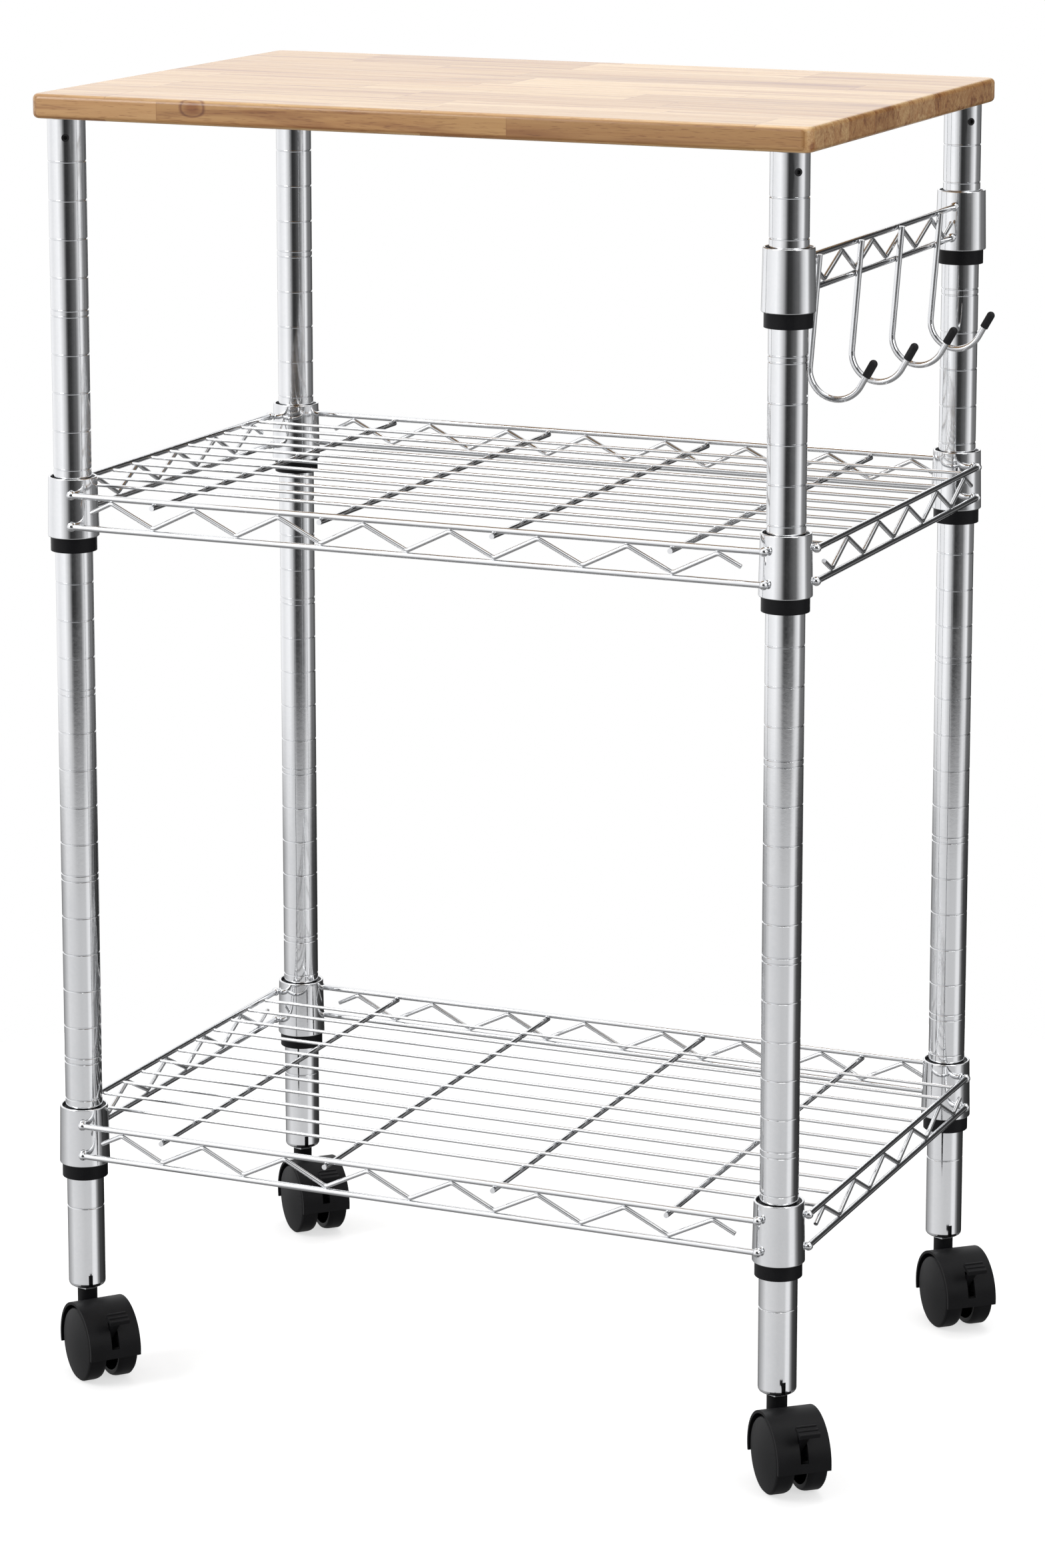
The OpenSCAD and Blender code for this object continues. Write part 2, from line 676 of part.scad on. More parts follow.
// One cup-shaped wheel: domed disc outside, rounded rim, hub on the axle
module wheel(i, side) {
    out = tread_span / 2;
    shoulder = 4.5;
    edge = 1.5;
    bore_r = axle_d / 2 + fit;
    outline = concat(
        [[0, axle_half + running], [bore_r, axle_half + running], [bore_r, hub_in],
         [hub_r, hub_in], [hub_r, disc_in], [ring_r, disc_in], [ring_r, ring_in + 0.6]],
        [for (k = [1:5])
            let (a = 90 * k / 5)
            [wheel_r - shoulder * 0.5 * (1 - sin(a)), ring_in + shoulder * (1 - cos(a))]],
        [[wheel_r, out - edge], [wheel_r - edge, out]],
        [for (k = [1:6])
            let (t = k / 6)
            [(wheel_r - edge - 0.5) * (1 - t), out + dome * sin(90 * t)]]
    );
    color(black) at_caster(i) at_axle() rotate([0, side * 90, 0])
        rotate_extrude($fn = 72) polygon(outline);
}

module brake_lever(i) {
    reach = pedal_at - pivot;
    arm = norm(reach);
    arm_t = 3.6;
    ridge_d = 1.6;
    color(black) at_caster(i) at_axle() union() {
        translate([0, pivot[0], pivot[1]]) {
            rotate([0, 90, 0]) cylinder(r = 2.6, h = lever_w, center = true);
            rotate([0, 90, 0])
                cylinder(d = pivot_d, h = lever_w + 2 * running + 1.6, center = true);
            rotate([atan2(-reach[0], reach[1]), 0, 0]) translate([0, 0, arm / 2])
                cube([lever_w, arm_t, arm], center = true);
            translate([0, 0, toe_rise]) rotate([0, 90, 0])
                cylinder(d = toe_d, h = 2 * toe_half, center = true);
            translate([0, 0, toe_rise / 2]) cube([lever_w, 2.4, toe_rise + 1], center = true);
        }
        translate([0, pedal_at[0], pedal_at[1]]) rotate([pedal_slope, 0, 0]) {
            cube([pedal_w, pedal_len, pedal_t], center = true);
            for (k = [-1:1]) translate([0, k * (pedal_len - ridge_d) / 2, pedal_t / 2])
                rotate([0, 90, 0]) cylinder(d = ridge_d, h = pedal_w - 0.6, center = true);
        }
    }
}

module front_left_stem() { stem(FL); }
module front_left_housing() { housing(FL); }
module front_left_axle() { axle(FL); }
module front_left_wheel_a() { wheel(FL, -1); }
module front_left_wheel_b() { wheel(FL, 1); }
module front_left_brake_lever() { brake_lever(FL); }
module front_right_stem() { stem(FR); }
module front_right_housing() { housing(FR); }
module front_right_axle() { axle(FR); }
module front_right_wheel_a() { wheel(FR, -1); }
module front_right_wheel_b() { wheel(FR, 1); }
module front_right_brake_lever() { brake_lever(FR); }
module back_left_stem() { stem(BL); }
module back_left_housing() { housing(BL); }
module back_left_axle() { axle(BL); }
module back_left_wheel_a() { wheel(BL, -1); }
module back_left_wheel_b() { wheel(BL, 1); }
module back_left_brake_lever() { brake_lever(BL); }
module back_right_stem() { stem(BR); }
module back_right_housing() { housing(BR); }
module back_right_axle() { axle(BR); }
module back_right_wheel_a() { wheel(BR, -1); }
module back_right_wheel_b() { wheel(BR, 1); }
module back_right_brake_lever() { brake_lever(BR); }

worktop();
post_front_left();
post_front_right();
post_back_left();
post_back_right();
top_plugs();
wood_screws();
set_screws();
foot_inserts();
lower_shelf_collars();
lower_shelf_sleeves();
lower_shelf_front_back_rails();
lower_shelf_side_rails();
lower_shelf_front_back_zigzags();
lower_shelf_side_zigzags();
lower_shelf_cross_wires();
lower_shelf_deck_wires();
middle_shelf_collars();
middle_shelf_sleeves();
middle_shelf_front_back_rails();
middle_shelf_side_rails();
middle_shelf_front_back_zigzags();
middle_shelf_side_zigzags();
middle_shelf_cross_wires();
middle_shelf_deck_wires();
hook_rail_collars();
hook_rail_sleeves();
hook_rail_wires();
hook_rail_zigzag();
hook_1();
hook_2();
hook_3();
hook_4();
hook_tips();
front_left_stem();
front_left_housing();
front_left_axle();
front_left_wheel_a();
front_left_wheel_b();
front_left_brake_lever();
front_right_stem();
front_right_housing();
front_right_axle();
front_right_wheel_a();
front_right_wheel_b();
front_right_brake_lever();
back_left_stem();
back_left_housing();
back_left_axle();
back_left_wheel_a();
back_left_wheel_b();
back_left_brake_lever();
back_right_stem();
back_right_housing();
back_right_axle();
back_right_wheel_a();
back_right_wheel_b();
back_right_brake_lever();
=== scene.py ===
import json
import math

import bpy
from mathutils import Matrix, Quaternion, Vector

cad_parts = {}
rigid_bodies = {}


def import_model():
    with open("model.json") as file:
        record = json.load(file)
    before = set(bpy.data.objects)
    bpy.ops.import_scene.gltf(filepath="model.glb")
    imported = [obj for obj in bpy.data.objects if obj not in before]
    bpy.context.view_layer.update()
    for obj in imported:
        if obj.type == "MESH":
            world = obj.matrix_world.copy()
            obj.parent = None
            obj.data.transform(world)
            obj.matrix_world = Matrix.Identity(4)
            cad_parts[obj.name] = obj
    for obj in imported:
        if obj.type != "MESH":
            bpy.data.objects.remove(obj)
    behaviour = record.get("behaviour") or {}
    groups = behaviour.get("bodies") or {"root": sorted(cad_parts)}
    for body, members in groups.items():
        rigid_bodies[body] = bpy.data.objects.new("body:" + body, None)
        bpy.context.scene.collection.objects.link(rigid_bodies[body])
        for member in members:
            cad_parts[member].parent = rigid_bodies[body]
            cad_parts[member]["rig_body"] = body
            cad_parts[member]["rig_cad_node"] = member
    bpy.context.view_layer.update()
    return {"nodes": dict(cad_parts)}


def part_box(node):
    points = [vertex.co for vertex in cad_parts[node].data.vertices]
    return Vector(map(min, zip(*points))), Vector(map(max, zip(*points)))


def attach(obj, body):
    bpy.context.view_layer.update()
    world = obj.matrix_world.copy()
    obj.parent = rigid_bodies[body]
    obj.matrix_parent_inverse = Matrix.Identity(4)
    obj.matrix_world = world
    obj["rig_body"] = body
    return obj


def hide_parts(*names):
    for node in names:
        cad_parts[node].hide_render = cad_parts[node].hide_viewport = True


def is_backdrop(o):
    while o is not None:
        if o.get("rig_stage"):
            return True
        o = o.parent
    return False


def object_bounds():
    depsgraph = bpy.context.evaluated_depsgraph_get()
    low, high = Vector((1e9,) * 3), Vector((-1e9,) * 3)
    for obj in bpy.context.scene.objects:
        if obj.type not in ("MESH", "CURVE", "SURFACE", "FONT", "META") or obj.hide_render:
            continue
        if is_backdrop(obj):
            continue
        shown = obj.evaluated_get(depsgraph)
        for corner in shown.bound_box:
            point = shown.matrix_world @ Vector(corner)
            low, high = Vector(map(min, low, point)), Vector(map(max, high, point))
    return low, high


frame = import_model()


# ---- Chromed steel ----
# Tube, wire and collars are all bright nickel-chrome plated steel. The plating is a mirror with
# faint polishing haze, and it is a little less even on the drawn tubes.

def put(tree, kind, **values):
    """A shader node with some of its inputs set by name."""
    made = tree.nodes.new(kind)
    for name, value in values.items():
        made.inputs[name.replace("_", " ")].default_value = value
    return made


def feed(tree, value, socket):
    """Links a socket to another one, or sets a number or a colour on it."""
    if isinstance(value, bpy.types.NodeSocket):
        tree.links.new(value, socket)
    else:
        socket.default_value = (*value, 1) if isinstance(value, tuple) else value


def math_node(tree, operation, first, second=0.0):
    """One step of arithmetic, on sockets or numbers."""
    made = tree.nodes.new("ShaderNodeMath")
    made.operation = operation
    feed(tree, first, made.inputs[0])
    feed(tree, second, made.inputs[1])
    return made.outputs[0]


def mix(tree, factor, first, second, mode="MIX"):
    """Two colours mixed, which are inputs 6 and 7 of the node."""
    made = tree.nodes.new("ShaderNodeMix")
    made.data_type = "RGBA"
    made.blend_type = mode
    for place, value in ((0, factor), (6, first), (7, second)):
        feed(tree, value, made.inputs[place])
    return made.outputs[2]


def ramp(tree, factor, stops):
    """A colour that follows stops, each a position and a colour."""
    made = tree.nodes.new("ShaderNodeValToRGB")
    points = made.color_ramp.elements
    for point, (position, colour) in ((points[0], stops[0]), (points[1], stops[-1])):
        point.position = position
        point.color = (*colour, 1)
    for position, colour in stops[1:-1]:
        points.new(position).color = (*colour, 1)
    tree.links.new(factor, made.inputs["Fac"])
    return made.outputs["Color"]


def start_finish(name):
    """A new material, with its node tree, its shader and its object coordinates."""
    made = bpy.data.materials.new(name)
    made.use_nodes = True
    tree = made.node_tree
    shader = tree.nodes["Principled BSDF"]
    return made, tree, shader, tree.nodes.new("ShaderNodeTexCoord")


def make_mottle():
    """Node group: an uneven mask from 0 to 1, coarse patches with fine grain over them."""
    group = bpy.data.node_groups.new("mottle", "ShaderNodeTree")
    face = group.interface
    face.new_socket("Place", in_out="INPUT", socket_type="NodeSocketVector")
    face.new_socket("Patches", in_out="INPUT", socket_type="NodeSocketFloat")
    face.new_socket("Grain", in_out="INPUT", socket_type="NodeSocketFloat")
    face.new_socket("Mask", in_out="OUTPUT", socket_type="NodeSocketFloat")
    start = group.nodes.new("NodeGroupInput")
    end = group.nodes.new("NodeGroupOutput")
    patches = put(group, "ShaderNodeTexNoise", Detail=3.0, Roughness=0.55)
    grain = put(group, "ShaderNodeTexNoise", Detail=2.0, Roughness=0.6)
    for texture, scale in ((patches, "Patches"), (grain, "Grain")):
        group.links.new(start.outputs["Place"], texture.inputs["Vector"])
        group.links.new(start.outputs[scale], texture.inputs["Scale"])
    coarse = math_node(group, "MULTIPLY", patches.outputs["Fac"], 0.6)
    fine = math_node(group, "MULTIPLY", grain.outputs["Fac"], 0.4)
    group.links.new(math_node(group, "ADD", coarse, fine), end.inputs["Mask"])
    return group


mottle_group = make_mottle()


def mottle(tree, place, patches, grain):
    """Places the mottle group in a material and returns its mask."""
    made = tree.nodes.new("ShaderNodeGroup")
    made.node_tree = mottle_group
    made.inputs["Patches"].default_value = patches
    made.inputs["Grain"].default_value = grain
    tree.links.new(place, made.inputs["Place"])
    return made.outputs["Mask"]


mask_low, mask_high = 0.3, 0.7   # nearly all of a mottled mask lies between these


def spread(tree, mask, low, high, start=mask_low, end=mask_high):
    """Turns a mask from start to end into a value from low to high."""
    made = put(tree, "ShaderNodeMapRange", From_Min=start, From_Max=end, To_Min=low, To_Max=high)
    tree.links.new(mask, made.inputs["Value"])
    return made.outputs["Result"]


def relief(tree, shader, height, strength, distance):
    """Feeds a height to the shader's normal."""
    made = put(tree, "ShaderNodeBump", Strength=strength, Distance=distance)
    tree.links.new(height, made.inputs["Height"])
    tree.links.new(made.outputs["Normal"], shader.inputs["Normal"])


def tint(tree, mask, dark, light):
    """A colour that goes from dark to light with a mottled mask."""
    return ramp(tree, mask, ((mask_low, dark), (mask_high, light)))


def finish(name, dark, light, rough, patches, grain, strength, depth, metal=False):
    """A mottled metal or plastic: patches and grain are scales, strength and depth its relief."""
    made, tree, shader, place = start_finish(name)
    if metal:
        shader.inputs["Metallic"].default_value = 1.0
    else:
        shader.inputs["Specular IOR Level"].default_value = 0.12
    mask = mottle(tree, place.outputs["Object"], patches, grain)
    tree.links.new(tint(tree, mask, dark, light), shader.inputs["Base Color"])
    tree.links.new(spread(tree, mask, *rough), shader.inputs["Roughness"])
    relief(tree, shader, mask, strength, depth)
    return made


chrome_dark = (0.74, 0.75, 0.765)
chrome_light = (0.80, 0.805, 0.815)
chrome_tube = finish(
    "chrome_tube", chrome_dark, chrome_light, rough=(0.05, 0.11), patches=28.0, grain=420.0,
    strength=0.12, depth=0.00012, metal=True)
chrome_wire = finish(
    "chrome_wire", chrome_dark, chrome_light, rough=(0.08, 0.16), patches=60.0, grain=700.0,
    strength=0.12, depth=0.00008, metal=True)


def wear(material, *nodes):
    """Gives CAD nodes their material."""
    for name in nodes:
        frame["nodes"][name].data.materials.clear()
        frame["nodes"][name].data.materials.append(material)


# ---- Posts ----
# Four drawn steel tubes, chromed, with rolled grooves to set the shelves by and a rolled, slit
# foot. They carry everything else.

wear(chrome_tube, "post_front_left", "post_front_right", "post_back_left", "post_back_right")


# ---- Black plastic: sleeves, plugs and inserts ----
# Split sleeves that wedge in the collars, plugs in the post heads and inserts in the post feet.
# All are moulded black plastic with a satin skin.

black_plastic = finish(
    "black_plastic", (0.004, 0.004, 0.005), (0.009, 0.009, 0.010), rough=(0.30, 0.42),
    patches=45.0, grain=900.0, strength=0.2, depth=0.0001)
wear(black_plastic, "lower_shelf_sleeves", "middle_shelf_sleeves", "hook_rail_sleeves",
     "top_plugs", "foot_inserts")


# ---- Collars ----
# Tapered rings of pressed steel, chromed, one at each corner of a shelf and of the hook rail.
# Their lips are rolled, and the shelf's weight pulls them down on the sleeves.

def lone(obj):
    """Makes obj the only selected object."""
    bpy.ops.object.select_all(action="DESELECT")
    obj.select_set(True)
    bpy.context.view_layer.objects.active = obj


def join(objs, name):
    """Joins pieces into one object of that name."""
    bpy.ops.object.select_all(action="DESELECT")
    for obj in objs:
        obj.select_set(True)
    bpy.context.view_layer.objects.active = objs[0]
    if len(objs) > 1:
        bpy.ops.object.join()
    made = bpy.context.view_layer.objects.active
    made.name = made.data.name = name
    bpy.ops.object.transform_apply(location=True, rotation=True, scale=True)
    return made


def apply_all(obj):
    """Applies every modifier on obj, in order."""
    lone(obj)
    for modifier in list(obj.modifiers):
        bpy.ops.object.modifier_apply(modifier=modifier.name)


def smooth(obj, angle):
    """Smooth shading up to an angle, with flat and straight faces kept true beside their edges."""
    lone(obj)
    bpy.ops.object.shade_smooth_by_angle(angle=math.radians(angle))
    flat = obj.modifiers.new("flat", "WEIGHTED_NORMAL")
    flat.keep_sharp = True
    flat.weight = 100
    apply_all(obj)


def stand_for(obj, material, slot, body, *nodes):
    """Finishes a new piece: its material, its body and the CAD nodes it stands for. The slot
    argument is not used.
    """
    obj.data.materials.clear()
    obj.data.materials.append(material)
    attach(obj, body)
    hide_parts(*nodes)


def solid_boxes(node, gap=0.02):
    """The (low, high) boxes of a CAD node's solids, which stand more than gap apart in plan."""
    boxes = []
    for vertex in frame["nodes"][node].data.vertices:
        spot = vertex.co
        for box in boxes:
            if all(box[0][k] - gap < spot[k] < box[1][k] + gap for k in (0, 1)):
                for k in range(3):
                    box[0][k] = min(box[0][k], spot[k])
                    box[1][k] = max(box[1][k], spot[k])
                break
        else:
            boxes.append((spot.copy(), spot.copy()))
    return boxes


collar_top_r = 0.0162
collar_bottom_r = 0.0170
collar_wall = 0.0016
for node in ("lower_shelf_collars", "middle_shelf_collars", "hook_rail_collars"):
    rings = []
    for low, high in solid_boxes(node):
        bpy.ops.object.select_all(action="DESELECT")
        bpy.ops.mesh.primitive_cone_add(
            vertices=96, radius1=collar_bottom_r, radius2=collar_top_r, depth=high.z - low.z,
            end_fill_type="NOTHING", location=(low + high) / 2)
        ring = bpy.context.object
        wall = ring.modifiers.new("wall", "SOLIDIFY")
        wall.thickness = collar_wall
        wall.offset = -1
        lip = ring.modifiers.new("lip", "BEVEL")
        lip.width = 0.0006
        lip.segments = 3
        lip.limit_method = "ANGLE"
        apply_all(ring)
        rings.append(ring)
    collars = join(rings, node + "_rolled")
    smooth(collars, 40)
    stand_for(collars, chrome_tube, "chrome_tube", "cart", node)


# ---- Shelf and hook rail wires ----
# Drawn steel wire, spot welded and then chromed as one basket: rails, cross wires under them and
# deck wires on top, and the hook rail with its four hooks.

wear(chrome_wire,
     "lower_shelf_front_back_rails", "lower_shelf_side_rails",
     "middle_shelf_front_back_rails", "middle_shelf_side_rails",
     "lower_shelf_cross_wires", "middle_shelf_cross_wires",
     "lower_shelf_deck_wires", "middle_shelf_deck_wires",
     "hook_rail_wires", "hook_1", "hook_2", "hook_3", "hook_4")


# ---- Zigzag wires ----
# One round wire bent up and down between the two rails of each side, touching both, with its
# free ends half way up. Welded at every bend.

zigzag_d = 0.003
zigzag_height = 0.01394   # between the middles of the upper and lower runs
bend_r = 0.004
bend_steps = 5


def bent_wire(name, start, heading, turns, end):
    """A round wire in the X-Z plane at y = 0: start, a list of (centre, angle) bends, and end."""
    bpy.ops.object.select_all(action="DESELECT")
    bpy.ops.mesh.primitive_circle_add(
        vertices=12, radius=zigzag_d / 2, fill_type="NGON", location=start,
        rotation=(0, math.pi / 2 - heading, 0))
    wire = bpy.context.object
    bpy.ops.object.transform_apply(location=True, rotation=True, scale=True)
    bpy.ops.object.mode_set(mode="EDIT")
    bpy.ops.mesh.select_all(action="SELECT")
    spot = Vector(start)
    for centre, angle in turns:
        side = 1 if angle < 0 else -1
        tangent = centre + side * bend_r * Vector((-math.sin(heading), 0, math.cos(heading)))
        bpy.ops.mesh.extrude_region_move(TRANSFORM_OT_translate={"value": tangent - spot})
        bpy.ops.mesh.spin(
            steps=bend_steps, angle=abs(angle), center=centre, axis=(0, -side, 0))
        heading += angle
        spot = centre + side * bend_r * Vector((-math.sin(heading), 0, math.cos(heading)))
    bpy.ops.mesh.extrude_region_move(TRANSFORM_OT_translate={"value": Vector(end) - spot})
    bpy.ops.mesh.select_all(action="SELECT")
    bpy.ops.mesh.remove_doubles(threshold=1e-6)
    bpy.ops.mesh.normals_make_consistent(inside=False)
    bpy.ops.object.mode_set(mode="OBJECT")
    wire.name = name
    return wire


def zigzag_panel(name, step, bends):
    """A zigzag centred on the origin, with its first bend up."""
    rise = zigzag_height - 2 * bend_r
    slope = math.atan(rise / step) + math.asin(2 * bend_r / math.hypot(step, rise))
    turns = []
    for i in range(bends):
        side = 1 if i % 2 == 0 else -1
        centre = Vector(((i - (bends - 1) / 2) * step, 0, side * rise / 2))
        turns.append((centre, -side * 2 * slope))
    half = bends * step / 2
    return bent_wire(name, (-half, 0, 0), slope, turns, (half, 0, 0))


def lay_zigzags(node, along_y, step, bends, tilt=0.0, flip=False):
    """Zigzags in the place of a CAD node's: a leaning one in its middle, or one on each side."""
    low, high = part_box(node)
    across = (high.x - low.x if along_y else high.y - low.y) / 2 - zigzag_d / 2
    turn = (math.pi / 2 if along_y else 0.0) + (math.pi if flip else 0.0)
    made = []
    for side in (0.0,) if tilt else (-across, across):
        wire = zigzag_panel(node, step, bends)
        wire.rotation_mode = "QUATERNION"
        wire.rotation_quaternion = Quaternion((0, 1, 0), tilt) @ Quaternion((0, 0, 1), turn)
        wire.location = (low + high) / 2 + Vector((side, 0, 0) if along_y else (0, side, 0))
        made.append(wire)
    panel = join(made, node + "_round")
    lone(panel)
    bpy.ops.object.shade_smooth_by_angle(angle=math.radians(50))
    stand_for(panel, chrome_wire, "chrome_wire", "cart", node)


lay_zigzags("lower_shelf_front_back_zigzags", False, 0.0304, 15)
lay_zigzags("lower_shelf_side_zigzags", True, 0.029, 10)
lay_zigzags("middle_shelf_front_back_zigzags", False, 0.0304, 15, flip=True)
lay_zigzags("middle_shelf_side_zigzags", True, 0.029, 10, flip=True)
lay_zigzags("hook_rail_zigzag", True, 0.029, 10, tilt=math.radians(4.5))


# ---- Hook tips ----
# Black vinyl caps, dipped over the cut ends of the hooks so that nothing is scratched.

soft_cap = finish(
    "soft_cap", (0.012, 0.012, 0.013), (0.022, 0.022, 0.024), rough=(0.42, 0.55),
    patches=45.0, grain=1400.0, strength=0.25, depth=0.00008)
wear(soft_cap, "hook_tips")


# ---- Screws, stems and axles ----
# Zinc plated steel, and a blackened set screw in the head of each post.

zinc_steel = finish(
    "zinc_steel", (0.42, 0.43, 0.44), (0.62, 0.63, 0.64), rough=(0.22, 0.40),
    patches=180.0, grain=1500.0, strength=0.2, depth=0.00006, metal=True)
black_steel = finish(
    "black_steel", (0.010, 0.010, 0.011), (0.022, 0.022, 0.023), rough=(0.28, 0.40),
    patches=45.0, grain=1800.0, strength=0.15, depth=0.00006)
wear(black_steel, "set_screws")
corners = ("front_left", "front_right", "back_left", "back_right")
for corner in corners:
    wear(zinc_steel, corner + "_axle", corner + "_stem")
wear(zinc_steel, "wood_screws")


# ---- Casters ----
# Each has a moulded nylon hood over two domed wheels, with a ridged brake pedal standing out of
# a slot. The mould's fine spark texture dulls the hood, and the wheels are smoother.

caster_plastic = finish(
    "caster_plastic", (0.004, 0.004, 0.0045), (0.010, 0.010, 0.011), rough=(0.40, 0.52),
    patches=45.0, grain=2200.0, strength=0.35, depth=0.00012)
wheel_plastic = finish(
    "wheel_plastic", (0.004, 0.004, 0.0045), (0.009, 0.009, 0.010), rough=(0.34, 0.46),
    patches=45.0, grain=1600.0, strength=0.22, depth=0.0001)


sharp_from = 38   # degrees between two faces, from which their edge is rounded


def soften(node, width, material, slot):
    """A copy of a CAD node with its edges rounded, as they leave the mould."""
    body = frame["nodes"][node]["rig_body"]
    made = frame["nodes"][node].copy()
    made.data = frame["nodes"][node].data.copy()
    made.parent = None
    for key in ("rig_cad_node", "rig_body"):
        if key in made:
            del made[key]
    made.name = made.data.name = node + "_moulded"
    bpy.context.scene.collection.objects.link(made)
    lone(made)
    bpy.ops.mesh.customdata_custom_splitnormals_clear()
    bpy.ops.object.mode_set(mode="EDIT")
    bpy.ops.mesh.select_all(action="SELECT")
    bpy.ops.mesh.remove_doubles(threshold=2e-6)
    bpy.ops.mesh.dissolve_limited(angle_limit=math.radians(1.0))
    bpy.ops.object.mode_set(mode="OBJECT")
    edge = made.modifiers.new("edge", "BEVEL")
    edge.width = width
    edge.segments = 2
    edge.limit_method = "ANGLE"
    edge.angle_limit = math.radians(sharp_from)
    apply_all(made)
    smooth(made, sharp_from)
    stand_for(made, material, slot, body, node)


for corner in corners:
    soften(corner + "_housing", 0.0004, caster_plastic, "caster_plastic")
    soften(corner + "_brake_lever", 0.0003, caster_plastic, "caster_plastic")
    for side in ("_wheel_a", "_wheel_b"):
        soften(corner + side, 0.0004, wheel_plastic, "wheel_plastic")


# ---- Worktop ----
# A board of butcher block: staves of rubberwood, each made of shorter lengths joined end to end,
# glued side by side, sanded, with its edges eased and a thin satin lacquer.

stave_w = 0.0385
glue_line = 0.014   # as a part of a stave's width
knot_in = 0.119     # from the left end of the front edge
knot_down = 0.0045  # from the top of the board
knot_size = (0.0085, 0.0075, 0.0055)


def butcher_block_finish(low, high):
    """Wood for a board with those corners."""
    made, tree, shader, place = start_finish("butcher_block")
    split = tree.nodes.new("ShaderNodeSeparateXYZ")
    tree.links.new(place.outputs["Object"], split.inputs[0])
    x, y, z = split.outputs

    def calc(operation, first, second=0.0):
        return math_node(tree, operation, first, second)

    def chance(value):
        """A number from 0 to 1 of its own for each value."""
        noise = tree.nodes.new("ShaderNodeTexWhiteNoise")
        noise.noise_dimensions = "1D"
        tree.links.new(value, noise.inputs["W"])
        return noise.outputs["Value"]

    def stretched(along, across, shift):
        """Where to look up a noise, by its scales along and across the grain."""
        joined = tree.nodes.new("ShaderNodeCombineXYZ")
        tree.links.new(calc("ADD", calc("MULTIPLY", x, along), shift), joined.inputs[0])
        tree.links.new(calc("ADD", calc("MULTIPLY", y, across), shift), joined.inputs[1])
        tree.links.new(calc("MULTIPLY", z, across), joined.inputs[2])
        return joined.outputs[0]

    def noise(where, detail, rough, twist=0.0):
        texture = put(tree, "ShaderNodeTexNoise", Scale=1.0, Detail=detail, Roughness=rough,
                      Distortion=twist)
        tree.links.new(where, texture.inputs["Vector"])
        return texture.outputs["Fac"]

    def darken(factor, colour, stain):
        return mix(tree, factor, colour, stain, "MULTIPLY")

    # which stave and which length of it, each with its own tone and its own part of the noises
    wobble = calc("MULTIPLY", calc("SINE", calc("MULTIPLY", y, 55.0)), 0.22)
    row = calc("ADD", calc("ADD", calc("DIVIDE", y, stave_w), wobble), 40.37)
    stave = calc("FLOOR", row)
    luck = chance(stave)
    length = calc("ADD", calc("MULTIPLY", chance(calc("ADD", stave, 17.3)), 0.16), 0.13)
    run = calc("DIVIDE", calc("ADD", calc("ADD", x, 3.0), calc("MULTIPLY", luck, 0.7)), length)
    piece = calc("ADD", calc("MULTIPLY", calc("FLOOR", run), 7.31), calc("MULTIPLY", stave, 3.77))
    tone = chance(piece)
    shift = calc("MULTIPLY", chance(calc("ADD", piece, 5.5)), 90.0)

    colour = ramp(tree, tone, (
        (0.0, (0.40, 0.22, 0.08)), (0.2, (0.50, 0.29, 0.11)), (0.6, (0.57, 0.36, 0.155)),
        (1.0, (0.66, 0.45, 0.22))))

    # growth figure, fine streaks, pores and dark smears, all drawn out along the grain
    figure = noise(stretched(2.2, 42.0, shift), 3.0, 0.55, 1.2)
    colour = darken(spread(tree, figure, 0.0, 0.55, 0.44, 0.72), colour, (0.80, 0.60, 0.42))
    streaks = noise(stretched(7.0, 260.0, shift), 4.0, 0.6, 0.3)
    colour = darken(spread(tree, streaks, 0.0, 0.5, 0.42, 0.75), colour, (0.72, 0.55, 0.40))
    pores = noise(stretched(110.0, 1500.0, shift), 1.0, 0.5)
    pore_mask = spread(tree, pores, 0.0, 0.5, 0.60, 0.70)
    colour = darken(pore_mask, colour, (0.45, 0.30, 0.19))
    smears = noise(stretched(5.0, 95.0, calc("ADD", shift, 31.0)), 3.0, 0.6, 0.8)
    smear_mask = spread(tree, smears, 0.0, 0.85, 0.52, 0.66)
    colour = darken(smear_mask, colour, (0.55, 0.38, 0.25))

    # one knot on the front edge, with a darker rim
    knot_at = (low.x + knot_in, low.y, high.z - knot_down)
    reach = tree.nodes.new("ShaderNodeCombineXYZ")
    for socket, value, middle, size in zip(reach.inputs, (x, y, z), knot_at, knot_size):
        tree.links.new(calc("DIVIDE", calc("SUBTRACT", value, middle), size), socket)
    length_of = tree.nodes.new("ShaderNodeVectorMath")
    length_of.operation = "LENGTH"
    tree.links.new(reach.outputs[0], length_of.inputs[0])
    ragged = calc("ADD", length_of.outputs["Value"], calc("MULTIPLY", figure, 1.3))
    colour = darken(spread(tree, ragged, 0.9, 0.0, 1.0, 1.7), colour, (0.55, 0.33, 0.15))
    rim = calc("MULTIPLY", spread(tree, ragged, 0.0, 0.8, 1.45, 1.6),
               spread(tree, ragged, 1.0, 0.0, 1.65, 1.85))
    colour = darken(rim, colour, (0.38, 0.20, 0.09))

    # end grain on the two ends of the board
    normal = tree.nodes.new("ShaderNodeSeparateXYZ")
    tree.links.new(place.outputs["Normal"], normal.inputs[0])
    end_face = spread(tree, calc("ABSOLUTE", normal.outputs[0]), 0.0, 1.0, 0.6, 0.8)
    speckle = noise(stretched(0.0, 700.0, shift), 2.0, 0.6)
    rings = noise(stretched(0.0, 70.0, shift), 1.0, 0.4, 2.5)
    end_colour = darken(spread(tree, speckle, 0.1, 0.7, 0.35, 0.7), colour, (0.62, 0.46, 0.33))
    end_colour = darken(spread(tree, rings, 0.0, 0.6, 0.4, 0.6), end_colour, (0.74, 0.58, 0.44))
    colour = mix(tree, end_face, colour, end_colour)

